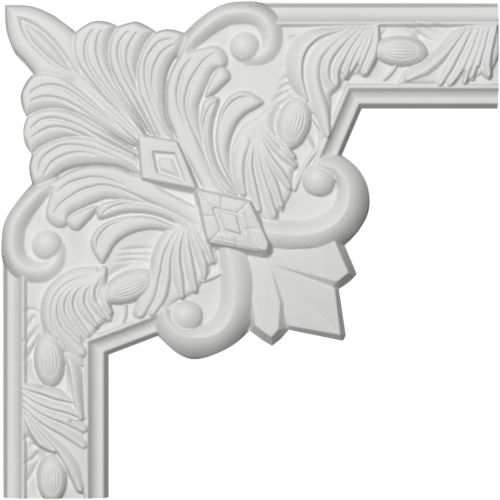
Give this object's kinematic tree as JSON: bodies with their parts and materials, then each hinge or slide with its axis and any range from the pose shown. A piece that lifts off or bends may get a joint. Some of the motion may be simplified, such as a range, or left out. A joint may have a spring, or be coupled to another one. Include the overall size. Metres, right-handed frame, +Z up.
{
  "type": "panel moulding corner",
  "caption": "Carved corner for a wall panel moulding: a palmette with scrolls, jewels and a tulip joins two square-cut arms with running leaves and buds between moulded borders",
  "frame": {"origin": "on the flat back, where the centre lines of the two arms cross", "axes": "the back lies on the plane Y = 0 and the carving faces -Y; one arm runs to +X and the other to -Z; +Z is up on the wall"},
  "size_m": [0.2979, 0.0232, 0.2979],
  "materials": {
    "white_primer": "smooth white factory primer on moulded foam, matt"
  },
  "bodies": {
    "root": {"panel_moulding_corner": "white_primer"}
  },
  "joints": []
}
